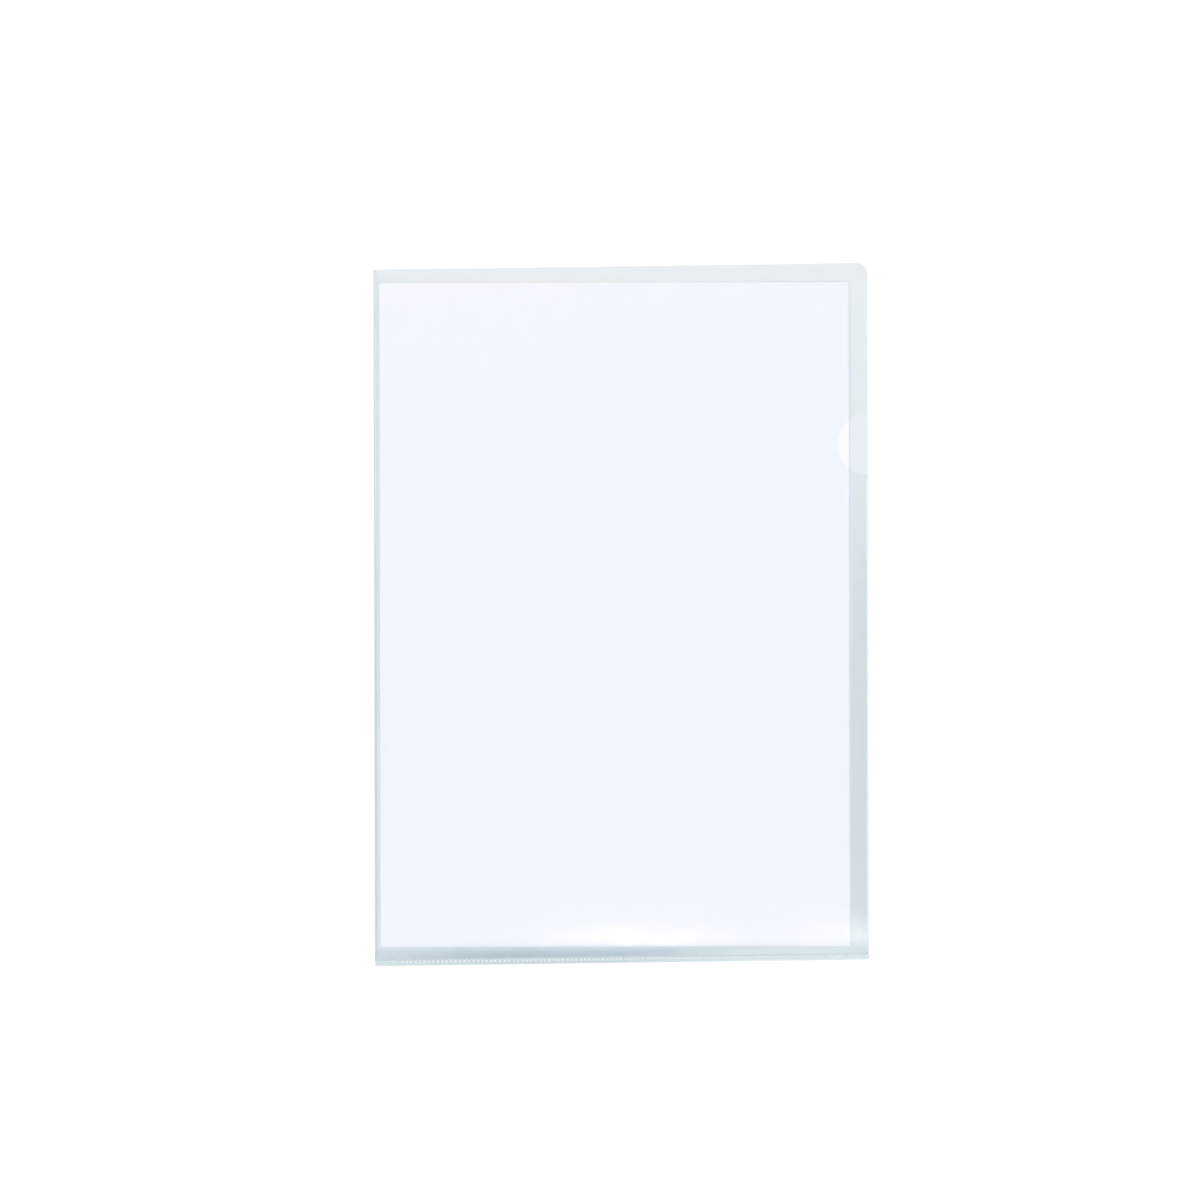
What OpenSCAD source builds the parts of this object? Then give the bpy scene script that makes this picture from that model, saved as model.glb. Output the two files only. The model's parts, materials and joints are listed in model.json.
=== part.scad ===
// Clear L-folder for A4 paper, lying flat on its rear leaf.
// One polypropylene film is folded along the left side and welded along the bottom.
// The pocket is open at the top and on the right.
// X runs to the open side, Y to the open top and Z up through the front leaf.
// The origin is under the middle of the rear leaf.

/* [Folder] */
// Width over the fold and the open side
folder_w = 221; // [200:1:330]
// Height from the welded edge to the top edge
folder_h = 311.5; // [280:0.5:450]
// Thickness of the film
film_t = 0.18; // [0.1:0.01:0.4]
// Angle by which the top and bottom cuts run off square
cut_skew = 0.65; // [0:0.05:1.5]
// Radius of the top corner on the open side
corner_r = 4; // [1:0.5:12]
// How far the front leaf stops short of the rear leaf on the open side
front_setback = 0.8; // [0:0.1:3]

/* [Weld] */
// Width of the flat, fused part of the weld
weld_flat = 2.4; // [1:0.1:6]
// Width of the shoulder where the two leaves run together
weld_shoulder = 0.6; // [0.2:0.1:2]

/* [Thumb notch] */
// Radius of the notch in the front leaf
notch_r = 13.5; // [6:0.5:20]
// Height of the notch above the middle of the open side
notch_rise = 76; // [0:1:100]

/* [Lifting corner] */
// Distance from the closed sides to the ends of the bend line
bend_clear = 14; // [6:1:40]
// Gap along the bend line between the held and the lifting film
bend_gap = 0.3; // [0.2:0.05:1]

/* [Paper sheet] */
// Width of the sheet
sheet_w = 210; // [150:1:297]
// Height of the sheet
sheet_h = 297; // [200:1:420]
// Thickness of the sheet
sheet_t = 0.1; // [0.05:0.01:0.4]
// Space between the sheet and the fold
sheet_gap_side = 2.1; // [0.5:0.1:10]
// Space between the sheet and the weld, where they are closest
sheet_gap_bottom = 3.2; // [0.5:0.1:10]
// Air between the sheet and the rear leaf
sheet_lift = 0.05; // [0.02:0.01:0.2]
// Air between the sheet and the front leaf
sheet_play = 0.35; // [0.1:0.05:3]

/* [Hidden] */
$fn = 96;

film_colour = [0.86, 0.92, 0.93, 0.45];
weld_colour = [0.80, 0.87, 0.88, 0.75];
paper_colour = [0.97, 0.97, 0.98];

half_w = folder_w / 2;
half_h = folder_h / 2;
skew_slope = tan(cut_skew);
weld_w = weld_flat + weld_shoulder;

// Heights through the stack
sheet_z = film_t + sheet_lift;
front_z = sheet_z + sheet_t + sheet_play;
folder_t = front_z + film_t;

// The fold is a half round that joins the two leaves
fold_r = folder_t / 2;
fold_x = -half_w + fold_r;
front_edge_x = half_w - front_setback;

// Height of a skewed cut at x, for a cut that crosses the middle at y
function cut_y(x, y) = y + x * skew_slope;

// The weld's inner edge, which the leaves and the fold meet
weld_inner_y = -half_h + weld_w / cos(cut_skew);

// The line that the lifting corner bends about
bend_start = [-half_w + bend_clear, cut_y(-half_w + bend_clear, half_h)];
bend_end = [half_w, cut_y(half_w, weld_inner_y) + bend_clear];
bend_turn = atan2(bend_end.y - bend_start.y, bend_end.x - bend_start.x);

// The sheet lies square to the fold, above the weld's nearest point
sheet_x = -half_w + sheet_gap_side + fold_r;
sheet_y = cut_y(sheet_x + sheet_w, weld_inner_y) + sheet_gap_bottom;

// Longer than any line across the folder
reach = folder_w + folder_h;

// The corner's arc is this much larger than its tangent circle, so it crosses the edges cleanly
arc_past = 0.01;

// Leaf between two sides and two skewed cuts, with a round top corner at its right
module leaf_outline(left, right, bottom, top, round_r) {
    corner = [right, cut_y(right, top)];
    tangent = round_r / tan((90 - cut_skew) / 2);
    centre = corner - [round_r, tangent];
    top_normal = [-sin(cut_skew), cos(cut_skew)];
    past = 2 * round_r;
    difference() {
        polygon([
            [left, cut_y(left, bottom)],
            [right, cut_y(right, bottom)],
            corner,
            [left, cut_y(left, top)]
        ]);
        difference() {
            polygon([centre, centre + top_normal * past, corner + [past, past], centre + [past, 0]]);
            translate(centre) circle(r = round_r + arc_past);
        }
    }
}

// Everything on one side of the bend line: side 1 lifts and side -1 is held
module bend_side(side) {
    near = bend_gap / 2;
    translate(bend_start)
        rotate(bend_turn)
        translate([-reach, side > 0 ? near : -near - reach])
        square([3 * reach, reach]);
}

// The whole front leaf with its thumb notch, as cut
module front_outline() {
    difference() {
        leaf_outline(fold_x, front_edge_x, weld_inner_y, half_h, corner_r);
        translate([half_w, notch_rise]) circle(r = notch_r);
    }
}

module rear_leaf() {
    color(film_colour)
        linear_extrude(film_t)
        leaf_outline(fold_x, half_w, weld_inner_y, half_h, corner_r);
}

// Half-round crease along the left side, from the weld to the top cut
module spine_fold() {
    color(film_colour)
        intersection() {
            translate([fold_x, reach / 2, fold_r])
                rotate([90, 0, 0])
                linear_extrude(reach)
                difference() {
                    circle(r = fold_r);
                    circle(r = fold_r - film_t);
                    translate([0, -folder_t]) square(2 * folder_t);
                }
            linear_extrude(folder_t)
                polygon([
                    [-half_w, cut_y(-half_w, weld_inner_y)],
                    [fold_x, cut_y(fold_x, weld_inner_y)],
                    [fold_x, cut_y(fold_x, half_h)],
                    [-half_w, cut_y(-half_w, half_h)]
                ]);
        }
}

// Fused strip along the bottom, with a shoulder up to the pocket's height
module bottom_weld() {
    color(weld_colour)
        intersection() {
            translate([0, -half_h, 0])
                rotate([90, 0, 90 + cut_skew])
                translate([0, 0, -reach / 2])
                linear_extrude(reach)
                polygon([
                    [0, 0],
                    [weld_w, 0],
                    [weld_w, folder_t],
                    [weld_flat, 2 * film_t],
                    [0, 2 * film_t]
                ]);
            translate([-half_w, -reach / 2, 0]) cube([folder_w, reach, folder_t]);
        }
}

// The part of the front leaf that the fold and the weld hold down
module front_leaf() {
    color(film_colour)
        translate([0, 0, front_z])
        linear_extrude(film_t)
        intersection() {
            front_outline();
            bend_side(-1);
        }
}

// The free corner of the front leaf, which lifts to open the pocket
module front_corner() {
    color(film_colour)
        translate([0, 0, front_z])
        linear_extrude(film_t)
        intersection() {
            front_outline();
            bend_side(1);
        }
}

module insert_sheet() {
    color(paper_colour)
        translate([sheet_x, sheet_y, sheet_z])
        cube([sheet_w, sheet_h, sheet_t]);
}

rear_leaf();
spine_fold();
bottom_weld();
front_leaf();
front_corner();
insert_sheet();
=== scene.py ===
import json
import math
import bpy
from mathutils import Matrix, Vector, noise


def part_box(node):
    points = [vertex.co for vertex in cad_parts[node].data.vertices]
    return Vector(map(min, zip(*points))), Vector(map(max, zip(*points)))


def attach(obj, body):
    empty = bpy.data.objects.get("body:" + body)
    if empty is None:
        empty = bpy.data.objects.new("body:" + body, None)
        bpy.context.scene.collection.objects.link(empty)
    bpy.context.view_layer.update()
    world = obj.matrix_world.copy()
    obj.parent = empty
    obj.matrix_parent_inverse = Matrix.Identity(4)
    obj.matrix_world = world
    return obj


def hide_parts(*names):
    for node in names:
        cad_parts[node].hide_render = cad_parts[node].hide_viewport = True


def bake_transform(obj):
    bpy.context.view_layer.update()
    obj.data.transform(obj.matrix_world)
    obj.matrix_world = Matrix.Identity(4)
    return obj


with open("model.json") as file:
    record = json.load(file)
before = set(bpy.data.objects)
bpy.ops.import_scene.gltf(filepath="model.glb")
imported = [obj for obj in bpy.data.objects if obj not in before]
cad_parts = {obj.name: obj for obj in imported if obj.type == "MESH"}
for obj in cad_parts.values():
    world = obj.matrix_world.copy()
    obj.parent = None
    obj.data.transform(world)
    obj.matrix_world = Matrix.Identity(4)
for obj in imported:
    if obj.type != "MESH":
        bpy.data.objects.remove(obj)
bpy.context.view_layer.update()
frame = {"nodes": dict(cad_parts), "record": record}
mm = 0.001
print("frame loaded:", len(frame["nodes"]), "nodes")


# the CAD boxes in millimetres give most places used below
def boxInMm(node):
    low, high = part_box(node)
    return low / mm, high / mm


rearHigh = boxInMm("rear_leaf")[1]
foldLow, foldHigh = boxInMm("spine_fold")
cornerLow, cornerHigh = boxInMm("front_corner")
sheetLow, sheetHigh = boxInMm("insert_sheet")
joints = frame["record"]["behaviour"]["joints"]
hinge = next(joint for joint in joints if joint["name"] == "corner_lift")

# the folded film, in millimetres
film = {
    "thick": rearHigh.z,                    # one film
    "left": foldLow.x,                      # outside of the fold
    "right": rearHigh.x,                    # cut edge of the rear leaf
    "frontRight": cornerHigh.x,             # the front leaf stops a little short
    "skew": math.tan(math.radians(0.65)),   # the top and bottom cuts run off square
    "halfHeight": 155.75,                   # from the middle to the top or bottom cut, on the centre line
    "cornerR": 4.0,
    "notchR": 13.5,
    "notchY": 76.0,
    "weldWidth": 3.0,
}
film["frontMid"] = cornerLow.z + film["thick"] / 2   # middle of the front film over the sheet
film["rearMid"] = film["thick"] / 2
film["weldMid"] = film["thick"] * 1.5                # middle of the front film where it's fused
film["weldInner"] = -film["halfHeight"] + film["weldWidth"]
settleRounds = 6                                     # for the x where a skewed row meets an arc
sharpAngle = math.radians(50)                        # cut edges stay crisp


def cutY(x, y):
    # where a skewed row that crosses the middle at y has got to at x
    return y + x * film["skew"]


def smooth(value, low, high):
    share = min(max((value - low) / (high - low), 0.0), 1.0)
    return share * share * (3 - 2 * share)


def graded(low, high, coarse, fine, edge):
    # positions from low to high, close together within edge of both ends
    spots = [low]
    while spots[-1] < high:
        near = min(spots[-1] - low, high - spots[-1])
        spots.append(spots[-1] + (fine if near < edge else coarse))
    scale = (high - low) / (spots[-1] - low)
    return [low + (spot - low) * scale for spot in spots]


def rightSide(edge, y):
    # x where a skewed row that crosses the middle at y meets the rounded corner or the edge
    tangent = film["cornerR"] / math.tan((math.pi / 2 - math.atan(film["skew"])) / 2)
    centreX = edge - film["cornerR"]
    centreY = cutY(edge, film["halfHeight"]) - tangent
    x = edge
    for again in range(settleRounds):
        rise = cutY(x, y) - centreY
        if rise > 0:
            x = centreX + math.sqrt(max(film["cornerR"] ** 2 - rise ** 2, 0.0))
    return x


def frontSide(y):
    # the same for the front leaf, which also has the thumb notch
    x = rightSide(film["frontRight"], y)
    for again in range(settleRounds):
        off = cutY(x, y) - film["notchY"]
        if abs(off) < film["notchR"]:
            x = min(film["frontRight"], film["right"] - math.sqrt(film["notchR"] ** 2 - off ** 2))
    return x


def notchArc(steps):
    # rows at even angles round the thumb notch
    centre = cutY(-film["right"], film["notchY"])
    turns = [math.pi * (step / steps - 0.5) for step in range(steps + 1)]
    return [centre + film["notchR"] * math.sin(turn) for turn in turns]


def cornerArc(steps):
    # rows at even angles round the top corner, up to the cut
    turns = [math.pi / 2 * step / steps for step in range(steps + 1)]
    return [film["halfHeight"] - film["cornerR"] * (1 - math.sin(turn)) for turn in turns]


def shellMesh(name, upper, lower):
    # closed shell from two grids of points in millimetres, the upper one seen from above
    rows = len(upper)
    cols = len(upper[0])
    points = [Vector(point) * mm for grid in (upper, lower) for line in grid for point in line]
    top = [[row * cols + col for col in range(cols)] for row in range(rows)]
    low = [[rows * cols + index for index in line] for line in top]
    faces = []
    for row in range(rows - 1):
        for col in range(cols - 1):
            faces.append((top[row][col], top[row][col + 1], top[row + 1][col + 1], top[row + 1][col]))
            faces.append((low[row][col], low[row + 1][col], low[row + 1][col + 1], low[row][col + 1]))
        faces.append((top[row + 1][0], low[row + 1][0], low[row][0], top[row][0]))
        faces.append((top[row][-1], low[row][-1], low[row + 1][-1], top[row + 1][-1]))
    for col in range(cols - 1):
        faces.append((top[0][col], low[0][col], low[0][col + 1], top[0][col + 1]))
        faces.append((top[-1][col + 1], low[-1][col + 1], low[-1][col], top[-1][col]))
    mesh = bpy.data.meshes.new(name)
    mesh.from_pydata(points, [], faces)
    mesh.shade_smooth()
    mesh.set_sharp_from_angle(angle=sharpAngle)
    piece = bpy.data.objects.new(name, mesh)
    bpy.context.scene.collection.objects.link(piece)
    return piece


# how the loose front film lies over the sheet
billow = {
    "weldRun": 8.0,            # the film climbs steeply from the weld and levels off over the sheet
    "foldHold": (1.0, 30.0),   # the fold keeps the film level, less and less between these distances
    "wave": 0.12,              # height of the broad waves
    "waveLength": 110.0,
    "waveStretch": 0.8,        # the waves run a little longer up the folder than across it
    "waveSlice": 3.0,          # which slice of the noise they are cut from
    "fineShare": 0.5,          # a second, shorter wave on top of them
    "fineTimes": 2.1,
    "fineShift": (4.0, 1.0, 0.0),
    "droop": 0.34,             # how far the open edges sink towards the rear film
    "droopRun": 8.0,
    "lowest": 0.49,            # the film's middle stays above the sheet
    "landing": 0.005,          # rounds off where it comes down to that
    "cornerLift": 1.2,         # the free corner stands a little open
    "liftRun": 190.0,          # it opens over this distance from the bend line
    "seam": 0.01,              # hairline between this film and the fold and weld
}
bendStart = Vector(hinge["pos_m"]) / mm
bendAxis = Vector(hinge["axis"])
bendAcross = Vector((-bendAxis.y, bendAxis.x, 0))    # from the bend line to the free corner


def frontHeight(x, y):
    aboveWeld = max(y - cutY(x, film["weldInner"]), 0.0)
    climb = 1 - math.exp(-aboveWeld / billow["weldRun"])
    fromFold = smooth(x - film["left"], *billow["foldHold"])
    spot = Vector((x, y * billow["waveStretch"], billow["waveSlice"])) / billow["waveLength"]
    fineSpot = spot * billow["fineTimes"] + Vector(billow["fineShift"])
    wave = noise.noise(spot) + billow["fineShare"] * noise.noise(fineSpot)
    fromRight = max(1 - (film["frontRight"] - x) / billow["droopRun"], 0.0) ** 2
    fromTop = max(1 - (cutY(x, film["halfHeight"]) - y) / billow["droopRun"], 0.0) ** 2
    sink = 1 - (1 - fromRight) * (1 - fromTop)
    free = film["frontMid"] + fromFold * (billow["wave"] * wave - billow["droop"] * sink)
    above = free - billow["lowest"]
    free = billow["lowest"] + (above + math.sqrt(above * above + billow["landing"])) / 2
    held = film["frontMid"] + (free - film["frontMid"]) * fromFold
    away = (Vector((x, y, 0)) - bendStart).dot(bendAcross)
    lift = billow["cornerLift"] * smooth(away, 0.0, billow["liftRun"]) ** 2
    return film["weldMid"] + (held - film["weldMid"]) * climb + lift


# front film, one piece from the fold to the open side, in rows that run along the cuts
frontGrid = {
    "coarse": 4.0,
    "fine": 0.8,
    "edge": 14.0,           # fine within this of the weld and of the top cut
    "notchSteps": 28,
    "cornerSteps": 10,
    "notchClear": 0.3,      # other rows keep this far off the notch's and the corner's
    "cornerClear": 0.2,
    "acrossCoarse": 1 / 62,   # shares of a row's length
    "acrossFine": 1 / 260,
    "acrossEdge": 0.06,
}
fold = {
    "lap": 0.8,             # the fold's ribbon runs this far on to the front
    "least": 0.17,          # radius of the fold's middle where the weld flattens it
    "arcSteps": 12,
    "coarse": 5.0,          # rows of the rear film
    "fine": 0.8,
    "edge": 12.0,
}
halfThick = film["thick"] / 2
lapEnd = foldHigh.x + fold["lap"]
lowestRow = film["weldInner"] + billow["seam"]
cornerRows = cornerArc(frontGrid["cornerSteps"])
notchRows = notchArc(frontGrid["notchSteps"])
underNotch = notchRows[0] - frontGrid["notchClear"]
overNotch = notchRows[-1] + frontGrid["notchClear"]
underCorner = cornerRows[0] - frontGrid["cornerClear"]
frontRows = graded(lowestRow, film["halfHeight"], frontGrid["coarse"], frontGrid["fine"], frontGrid["edge"])
frontRows = [y for y in frontRows if y < underNotch or y > overNotch]
frontRows = [y for y in frontRows if y < underCorner]
frontRows = sorted(frontRows + notchRows + cornerRows)
across = graded(0.0, 1.0, frontGrid["acrossCoarse"], frontGrid["acrossFine"], frontGrid["acrossEdge"])
start = lapEnd + billow["seam"]
upper, lower = [], []
for y in frontRows:
    side = frontSide(y)
    row = [(start + (side - start) * share, cutY(start + (side - start) * share, y)) for share in across]
    heights = [frontHeight(*spot) for spot in row]
    upper.append([(*spot, height + halfThick) for spot, height in zip(row, heights)])
    lower.append([(*spot, height - halfThick) for spot, height in zip(row, heights)])
frontFilm = shellMesh("front_film", upper, lower)
print("front film:", len(frontFilm.data.polygons), "faces")

# rear film and the fold, one ribbon that turns up and over at the left
rearRows = graded(lowestRow, cornerRows[0], fold["coarse"], fold["fine"], fold["edge"])[:-1] + cornerRows
upper, lower = [], []
for y in rearRows:
    top = frontHeight(lapEnd, cutY(lapEnd, y))
    radius = max((top - film["rearMid"]) / 2, fold["least"])
    centreX = film["left"] + radius + halfThick
    side = rightSide(film["right"], y)
    ribbon = [(side + (foldHigh.x - side) * share, film["rearMid"], 0.0, 1.0) for share in across[:-1]]
    for step in range(fold["arcSteps"] + 1):
        turn = math.pi * step / fold["arcSteps"]
        rise = film["rearMid"] + radius * (1 - math.cos(turn))
        ribbon.append((centreX - radius * math.sin(turn), rise, math.sin(turn), math.cos(turn)))
    ribbon.append((lapEnd, top, 0.0, -1.0))
    # the lean points from the ribbon's middle to its inner face
    inner = [(x + leanX * halfThick, cutY(x, y), z + leanZ * halfThick) for x, z, leanX, leanZ in ribbon]
    outer = [(x - leanX * halfThick, cutY(x, y), z - leanZ * halfThick) for x, z, leanX, leanZ in ribbon]
    upper.append(inner[::-1])
    lower.append(outer[::-1])
rearFilm = shellMesh("rear_film", upper, lower)
print("rear film and fold:", len(rearFilm.data.polygons), "faces")

# fused strip with a row of small dents from the welding bar
weld = {
    "dentPitch": 2.0,
    "dentR": 0.62,
    "dentDeep": 0.1,
    "dentUp": 1.75,             # from the bottom cut
    "lipR": 0.45,
    "lipHigh": 0.04,            # plastic pushed up on the inner side of each dent
    "lipUp": 2.55,
    "squeeze": 0.2,             # the outer edge is pressed this much thinner
    "grid": 0.2,
}
weldLength = film["right"] - film["left"]
alongSteps = int(weldLength / weld["grid"])
upSteps = int(film["weldWidth"] / weld["grid"])
upper, lower, dents = [], [], []
for upStep in range(upSteps + 1):
    up = film["weldWidth"] * upStep / upSteps
    topRow, lowRow = [], []
    for alongStep in range(alongSteps + 1):
        along = weldLength * alongStep / alongSteps
        x = film["left"] + along
        y = cutY(x, -film["halfHeight"] + up)
        off = along - round(along / weld["dentPitch"]) * weld["dentPitch"]
        dent = 1 - smooth(math.hypot(off, up - weld["dentUp"]), weld["dentR"] / 2, weld["dentR"])
        lip = 1 - smooth(math.hypot(off, up - weld["lipUp"]), weld["lipR"] / 2, weld["lipR"])
        pressed = weld["squeeze"] * (1 - up / film["weldWidth"])
        rise = weld["lipHigh"] * lip - weld["dentDeep"] * dent
        topRow.append((x, y, 2 * film["thick"] - pressed + rise))
        lowRow.append((x, y, 0.0))
        # these values set the weld's colour: a painted shade on the lips, a partly painted highlight in the
        # dents
        dents.append(0.5 + 0.5 * dent - 0.5 * lip)   # 0 on a lip, 0.5 on the plain strip, 1 in a dent
    upper.append(topRow)
    lower.append(lowRow)
weldStrip = shellMesh("weld_strip", upper, lower)
dentAndLipShade = weldStrip.data.attributes.new("dent", "FLOAT", "POINT")
dentAndLipShade.data.foreach_set("value", dents + dents)   # top and underside alike
print("weld strip:", len(weldStrip.data.polygons), "faces")

# office paper, very slightly cockled
cockle = {
    "high": 0.05,
    "length": 60.0,
    "slice": 9.0,     # which slice of the noise it's cut from
    "up": 0.5,        # raised by this share, so the sheet stays off the rear film
    "step": 5.0,
}
sheetSize = sheetHigh - sheetLow
colSteps = int(sheetSize.x / cockle["step"])
rowSteps = int(sheetSize.y / cockle["step"])
upper, lower = [], []
for rowStep in range(rowSteps + 1):
    topRow, lowRow = [], []
    for colStep in range(colSteps + 1):
        x = sheetLow.x + sheetSize.x * colStep / colSteps
        y = sheetLow.y + sheetSize.y * rowStep / rowSteps
        spot = Vector((x, y, cockle["slice"])) / cockle["length"]
        rise = cockle["high"] * (cockle["up"] + noise.noise(spot))
        topRow.append((x, y, sheetHigh.z + rise))
        lowRow.append((x, y, sheetLow.z + rise))
    upper.append(topRow)
    lower.append(lowRow)
paperSheet = shellMesh("paper_sheet", upper, lower)
print("paper sheet:", len(paperSheet.data.polygons), "faces")


# materials
def linear(hexText):
    colour = []
    for at in (1, 3, 5):
        value = int(hexText[at:at + 2], 16) / 255
        colour.append(value / 12.92 if value <= 0.04045 else ((value + 0.055) / 1.055) ** 2.4)
    return colour + [1.0]


def addNode(tree, kind, inputs=None, **settings):
    node = tree.nodes.new(kind)
    for key, value in settings.items():
        setattr(node, key, value)
    for key, value in (inputs or {}).items():
        if isinstance(value, bpy.types.NodeSocket):
            tree.links.new(value, node.inputs[key])
        else:
            node.inputs[key].default_value = value
    return node


def newMaterial(name):
    material = bpy.data.materials.new(name)
    material.use_nodes = True
    material.node_tree.nodes.clear()
    return material, material.node_tree


# cast polypropylene: glossy clear film with faint handling haze and shallow ripples
def makeFilm(name, look):
    material, tree = newMaterial(name)
    where = addNode(tree, "ShaderNodeTexCoord").outputs["Object"]
    haze = addNode(tree, "ShaderNodeTexNoise", {
        "Vector": where, "Scale": 1 / (look["hazeMm"] * mm), "Detail": 4.0})
    rough = addNode(tree, "ShaderNodeMapRange", {   # most of the noise lies from 0.3 to 0.7
        "Value": haze.outputs["Fac"], "From Min": 0.3, "From Max": 0.7,
        "To Min": look["smoothest"], "To Max": look["roughest"]})
    ripple = addNode(tree, "ShaderNodeTexNoise", {
        "Vector": where, "Scale": 1 / (look["rippleMm"] * mm), "Detail": 1.0})
    bump = addNode(tree, "ShaderNodeBump", {
        "Height": ripple.outputs["Fac"], "Strength": look["ripple"], "Distance": look["rippleHigh"] * mm})
    if "dents" in look:   # clearer in the dents, where the film is thinner, partly a painted highlight; greyer on their lips, a painted shade
        clearVersusPaintedShade = addNode(tree, "ShaderNodeAttribute", attribute_name=look["dents"]).outputs["Fac"]
    else:                 # the film is tinted darker towards the weld, less and less away from it: a painted shade of the steep film there
        upFromCut = addNode(tree, "ShaderNodeVectorMath", {
            0: where, 1: (-film["skew"], 1.0, 0.0)}, operation="DOT_PRODUCT").outputs["Value"]
        clearVersusPaintedShade = addNode(tree, "ShaderNodeMapRange", {
            "Value": upFromCut, "From Min": film["weldInner"] * mm,
            "From Max": (film["weldInner"] + look["paintedShadeMm"]) * mm},
            interpolation_type="SMOOTHSTEP").outputs["Result"]
    colour = addNode(tree, "ShaderNodeMix", {
        0: clearVersusPaintedShade, 6: linear(look["greyAndPaintedShade"]), 7: linear(look["clear"])}, data_type="RGBA")
    body = addNode(tree, "ShaderNodeBsdfPrincipled", {
        "Base Color": colour.outputs[2], "IOR": look["ior"], "Transmission Weight": 1.0,
        "Roughness": rough.outputs["Result"], "Normal": bump.outputs["Normal"]})
    # light for the paper and the floor goes straight through the film
    passing = addNode(tree, "ShaderNodeBsdfTransparent", {"Color": linear(look["shade"])})
    ray = addNode(tree, "ShaderNodeLightPath")
    lit = addNode(tree, "ShaderNodeMath", {
        0: ray.outputs["Is Shadow Ray"], 1: ray.outputs["Is Diffuse Ray"]}, operation="MAXIMUM")
    mix = addNode(tree, "ShaderNodeMixShader", {
        "Fac": lit.outputs[0], 1: body.outputs[0], 2: passing.outputs[0]})
    addNode(tree, "ShaderNodeOutputMaterial", {"Surface": mix.outputs[0]})
    return material


# clear film with a faint cool tint
filmLook = {
    "clear": "#F2F5F6",
    # the darker tint by the weld is a painted shade, fading out away from it
    "greyAndPaintedShade": "#E0E8EB",
    "paintedShadeMm": 7.0,
    "shade": "#FFFFFF",
    "ior": 1.49,
    "hazeMm": 18.0,
    "smoothest": 0.05,
    "roughest": 0.1,
    "rippleMm": 7.0,
    "ripple": 0.04,
    "rippleHigh": 0.4,
}
frontClear = makeFilm("clear_polypropylene_front", filmLook)
# the rear film leaves a light shadow on what it lies on
rearClear = makeFilm("clear_polypropylene_rear", {**filmLook, "shade": filmLook["clear"]})
# two films fused by a knurled bar: duller and greyer, the grey partly a painted shade, with clearer dots
weldLook = {
    "clear": "#FFFFFF",
    # this grey is partly the fused film's own dullness and partly a painted shade
    "greyAndPaintedShade": "#BAD0D4",
    "dents": "dent",
    "shade": "#ECF2F3",
    "ior": 1.49,
    "hazeMm": 4.0,
    "smoothest": 0.08,
    "roughest": 0.14,
    "rippleMm": 1.5,
    "ripple": 0.04,
    "rippleHigh": 0.4,
}
fusedFilm = makeFilm("fused_polypropylene_weld", weldLook)

# uncoated office paper, felted from short fibres: matt, bright, slightly cloudy
paperLook = {
    "light": "#FAFBFF",
    "dark": "#F5F7FC",
    "cloudMm": 4.0,
    "fibreMm": 0.8,     # real fibres are far finer, and these are drawn coarser so that they show
    "fibre": 0.15,
    "fibreHigh": 0.1,
    "rough": 0.9,
    "ior": 1.45,
}
officePaper, tree = newMaterial("uncoated_office_paper")
where = addNode(tree, "ShaderNodeTexCoord").outputs["Object"]
cloud = addNode(tree, "ShaderNodeTexNoise", {
    "Vector": where, "Scale": 1 / (paperLook["cloudMm"] * mm), "Detail": 3.0})
tone = addNode(tree, "ShaderNodeMix", {
    "Factor": cloud.outputs["Fac"], 6: linear(paperLook["dark"]), 7: linear(paperLook["light"])},
    data_type="RGBA")
fibre = addNode(tree, "ShaderNodeTexNoise", {
    "Vector": where, "Scale": 1 / (paperLook["fibreMm"] * mm), "Detail": 6.0})
bump = addNode(tree, "ShaderNodeBump", {
    "Height": fibre.outputs["Fac"], "Strength": paperLook["fibre"], "Distance": paperLook["fibreHigh"] * mm})
body = addNode(tree, "ShaderNodeBsdfPrincipled", {
    "Base Color": tone.outputs[2], "Roughness": paperLook["rough"], "IOR": paperLook["ior"],
    "Normal": bump.outputs["Normal"]})
addNode(tree, "ShaderNodeOutputMaterial", {"Surface": body.outputs[0]})

frontFilm.data.materials.append(frontClear)
rearFilm.data.materials.append(rearClear)
weldStrip.data.materials.append(fusedFilm)
paperSheet.data.materials.append(officePaper)

# what each piece stands for and moves with
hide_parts("front_leaf", "front_corner")
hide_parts("rear_leaf", "spine_fold")
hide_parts("bottom_weld")
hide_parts("insert_sheet")
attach(rearFilm, "pocket")
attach(weldStrip, "pocket")
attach(paperSheet, "insert_sheet")
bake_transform(frontFilm)
print("materials and joints set")

# floor, a matt white card that stays white to the eye and keeps the shadow
floor = {
    "size": 6.0,      # metres
    "colour": "#F7F7F7",
    "fill": 0.1,      # own light, for the eye only
    "drop": 0.02,     # millimetres under the rear film
}
floorMesh = bpy.data.meshes.new("floor")
reach = floor["size"] / 2
floorMesh.from_pydata(
    [(-reach, -reach, 0), (reach, -reach, 0), (reach, reach, 0), (-reach, reach, 0)], [], [(0, 1, 2, 3)])
floorPlane = bpy.data.objects.new("floor", floorMesh)
floorPlane.location.z = -floor["drop"] * mm
bpy.context.scene.collection.objects.link(floorPlane)
whiteCard, tree = newMaterial("matt_white_card")
ray = addNode(tree, "ShaderNodeLightPath")
seen = addNode(tree, "ShaderNodeMath", {
    0: ray.outputs["Is Camera Ray"], 1: ray.outputs["Is Glossy Ray"]}, operation="MAXIMUM")
seen = addNode(tree, "ShaderNodeMath", {
    0: seen.outputs[0], 1: ray.outputs["Is Transmission Ray"]}, operation="MAXIMUM")
fill = addNode(tree, "ShaderNodeMath", {0: seen.outputs[0], 1: floor["fill"]}, operation="MULTIPLY")
matt = addNode(tree, "ShaderNodeBsdfDiffuse", {"Color": linear(floor["colour"])})
glow = addNode(tree, "ShaderNodeEmission", {"Strength": fill.outputs[0]})
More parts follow.
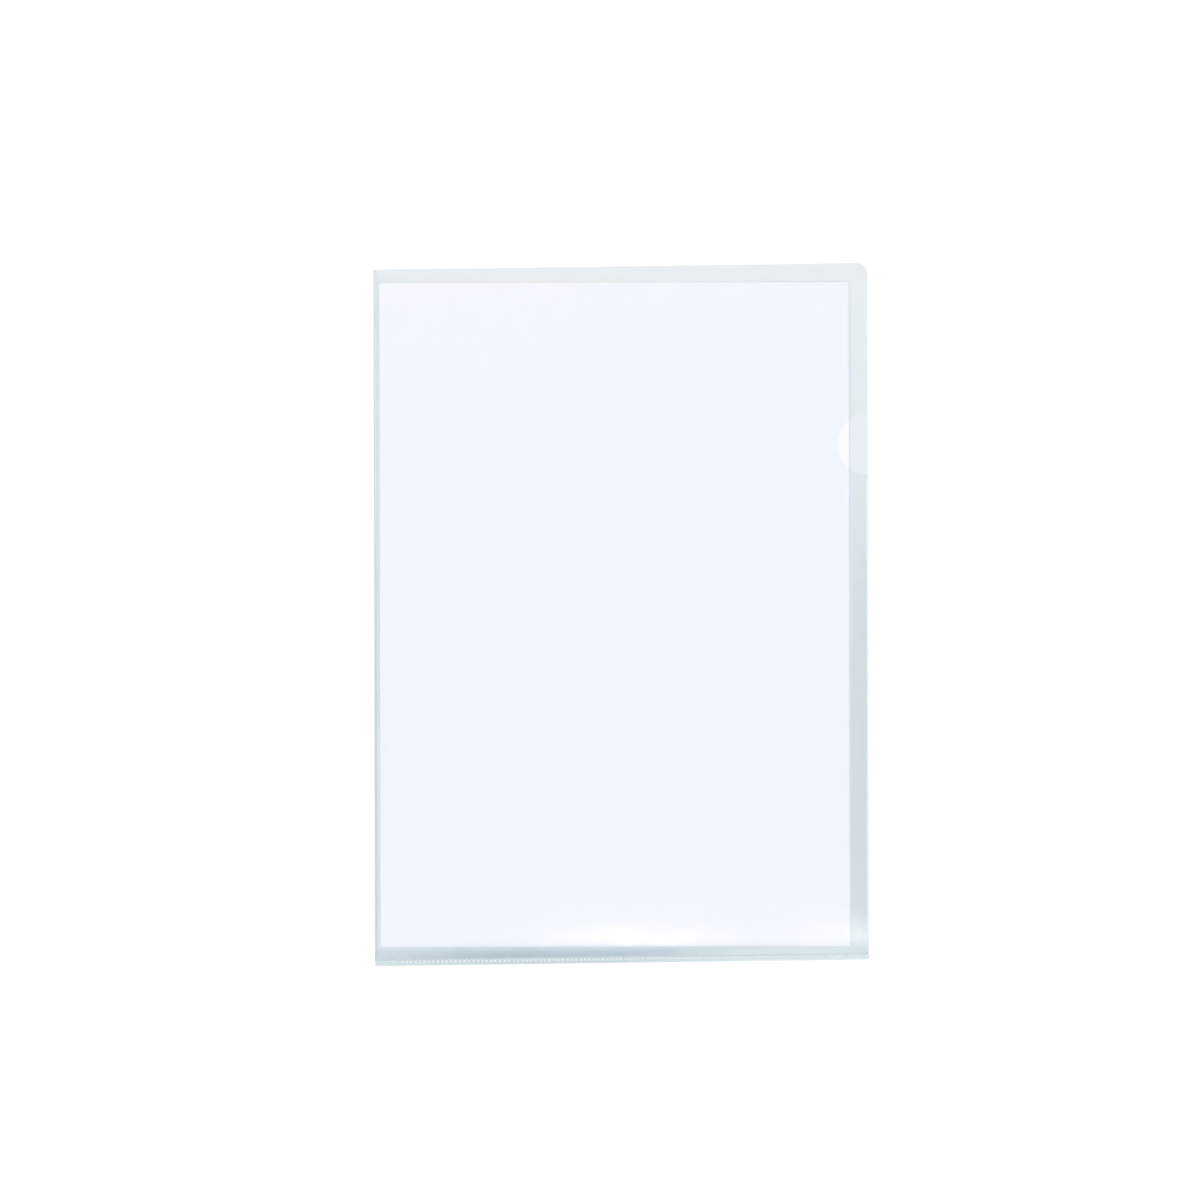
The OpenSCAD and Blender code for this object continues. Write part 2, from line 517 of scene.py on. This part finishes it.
both = addNode(tree, "ShaderNodeAddShader", {0: matt.outputs[0], 1: glow.outputs[0]})
addNode(tree, "ShaderNodeOutputMaterial", {"Surface": both.outputs[0]})
floorMesh.materials.append(whiteCard)

# soft studio dome: its level changes with height, and a ring of soft boxes stands at the sides
# cards hang overhead for the film to mirror, each placed by its slope from straight up
dome = {
    "colour": "#FAFBFF",
    "strength": 1.13,
    "levels": ((0.0, 0.9), (0.1, 0.85), (0.22, 0.45), (0.6, 0.9), (1.0, 1.0)),   # height, level
    "boxes": 5,
    "boxTurn": 0.6,
    "boxLow": 0.22,
    "boxHigh": 0.62,
    "boxSoft": 0.08,
    "boxSides": (-0.1, 0.4),   # a box fades in between these values of a sine around the dome
    "boxLevel": 1.1,
    "leastHeight": 0.05,       # keeps the slopes finite near the floor
    "cards": (
        # dim field, which greys the bare margins
        {"at": (0.0, -0.05), "half": (0.4, 0.4), "soft": (0.15, 0.15),
         "level": 0.04, "colour": "#FAFBFF"},
        # warm light on the top margin
        {"at": (0.0, 0.29), "half": (0.3, 0.24), "soft": (0.07, 0.07),
         "level": 1.8, "colour": "#FDF3EA"},
        # cool light over the sheet
        {"at": (0.0, -0.046), "half": (0.092, 0.144), "soft": (0.02, 0.015),
         "level": 1.65, "colour": "#E2EBFF"},
        # gleam at the foot of the sheet
        {"at": (0.013, -0.165), "half": (0.008, 0.01), "soft": (0.03, 0.03),
         "level": 3.2, "colour": "#FAFBFF"},
        # light on the right and left parts of the weld
        {"at": (0.154, -0.3), "half": (0.12, 0.065), "soft": (0.012, 0.05),
         "level": 3.8, "colour": "#FFF3E8"},
        {"at": (-0.15, -0.3), "half": (0.06, 0.065), "soft": (0.045, 0.05),
         "level": 3.8, "colour": "#FFF7F0"},
        # light on the lower right corner
        {"at": (0.225, -0.18), "half": (0.135, 0.04), "soft": (0.03, 0.03),
         "level": 2.4, "colour": "#F8FBF8"},
    ),
}


def lightOf(colour, level):
    return [level * part for part in linear(colour)[:3]] + [1.0]


world = bpy.data.worlds.new("studio_dome")
bpy.context.scene.world = world
world.use_nodes = True
tree = world.node_tree
tree.nodes.clear()
toward = addNode(tree, "ShaderNodeTexCoord").outputs["Generated"]
parts = addNode(tree, "ShaderNodeSeparateXYZ", {0: toward})
height = parts.outputs["Z"]
upward = addNode(tree, "ShaderNodeMath", {0: height, 1: dome["leastHeight"]}, operation="MAXIMUM").outputs[0]
upward = addNode(tree, "ShaderNodeCombineXYZ", {0: upward, 1: upward, 2: upward}).outputs[0]
slope = addNode(tree, "ShaderNodeVectorMath", {0: toward, 1: upward}, operation="DIVIDE").outputs[0]

ramp = addNode(tree, "ShaderNodeValToRGB", {0: height})
while len(ramp.color_ramp.elements) < len(dome["levels"]):
    ramp.color_ramp.elements.new(0.5)
for element, (spot, level) in zip(ramp.color_ramp.elements, dome["levels"]):
    element.position = spot
    element.color = lightOf(dome["colour"], level)
light = ramp.outputs["Color"]

around = addNode(tree, "ShaderNodeMath", {
    0: parts.outputs["Y"], 1: parts.outputs["X"]}, operation="ARCTAN2")
around = addNode(tree, "ShaderNodeMath", {
    0: around.outputs[0], 1: float(dome["boxes"]), 2: dome["boxTurn"]}, operation="MULTIPLY_ADD")
around = addNode(tree, "ShaderNodeMath", {0: around.outputs[0]}, operation="SINE")
beside = addNode(tree, "ShaderNodeMapRange", {
    "Value": around.outputs[0], "From Min": dome["boxSides"][0], "From Max": dome["boxSides"][1]},
    interpolation_type="SMOOTHSTEP")
over = addNode(tree, "ShaderNodeMapRange", {
    "Value": height, "From Min": dome["boxLow"], "From Max": dome["boxLow"] + dome["boxSoft"]},
    interpolation_type="SMOOTHSTEP")
under = addNode(tree, "ShaderNodeMapRange", {
    "Value": height, "From Min": dome["boxHigh"], "From Max": dome["boxHigh"] - dome["boxSoft"]},
    interpolation_type="SMOOTHSTEP")
share = addNode(tree, "ShaderNodeMath", {0: over.outputs[0], 1: under.outputs[0]}, operation="MULTIPLY")
share = addNode(tree, "ShaderNodeMath", {0: share.outputs[0], 1: beside.outputs[0]}, operation="MULTIPLY")
light = addNode(tree, "ShaderNodeMix", {
    0: share.outputs[0], 6: light, 7: lightOf(dome["colour"], dome["boxLevel"])},
    data_type="RGBA").outputs[2]

for card in dome["cards"]:
    inner = Vector((*card["half"], 1.0))
    outer = inner + Vector((*card["soft"], 1.0))
    away = addNode(tree, "ShaderNodeVectorMath", {0: slope, 1: (*card["at"], 1.0)}, operation="SUBTRACT")
    away = addNode(tree, "ShaderNodeVectorMath", {0: away.outputs[0]}, operation="ABSOLUTE")
    inside = addNode(tree, "ShaderNodeMapRange", {
        "Vector": away.outputs[0], 7: outer, 8: inner},
        data_type="FLOAT_VECTOR", interpolation_type="SMOOTHSTEP")
    sides = addNode(tree, "ShaderNodeSeparateXYZ", {0: inside.outputs["Vector"]})
    share = addNode(tree, "ShaderNodeMath", {
        0: sides.outputs["X"], 1: sides.outputs["Y"]}, operation="MULTIPLY")
    light = addNode(tree, "ShaderNodeMix", {
        0: share.outputs[0], 6: light, 7: lightOf(card["colour"], card["level"])},
        data_type="RGBA").outputs[2]
glow = addNode(tree, "ShaderNodeBackground", {"Color": light, "Strength": dome["strength"]})
addNode(tree, "ShaderNodeOutputWorld", {"Surface": glow.outputs[0]})

# camera straight above, framed as the photograph
view = {
    "height": 1300.0,
    "mmPerPixel": 0.4475,
    "pixels": 1200,
    "middle": (621.2, 614.7),   # where the folder's middle lies in the photograph, in its pixels
    "roll": 0.13,
    "sensor": 36.0,
}
camera = bpy.data.cameras.new("camera")
camera.sensor_width = view["sensor"]
camera.lens = view["sensor"] * view["height"] / (view["mmPerPixel"] * view["pixels"])
eye = bpy.data.objects.new("camera", camera)
offX = (view["pixels"] / 2 - view["middle"][0]) * view["mmPerPixel"]
offY = (view["middle"][1] - view["pixels"] / 2) * view["mmPerPixel"]
eye.location = (offX * mm, offY * mm, view["height"] * mm)
eye.rotation_euler = (0.0, 0.0, -math.radians(view["roll"]))
bpy.context.scene.collection.objects.link(eye)
bpy.context.scene.camera = eye
bpy.context.scene.view_settings.view_transform = "Standard"
print("camera and studio set")
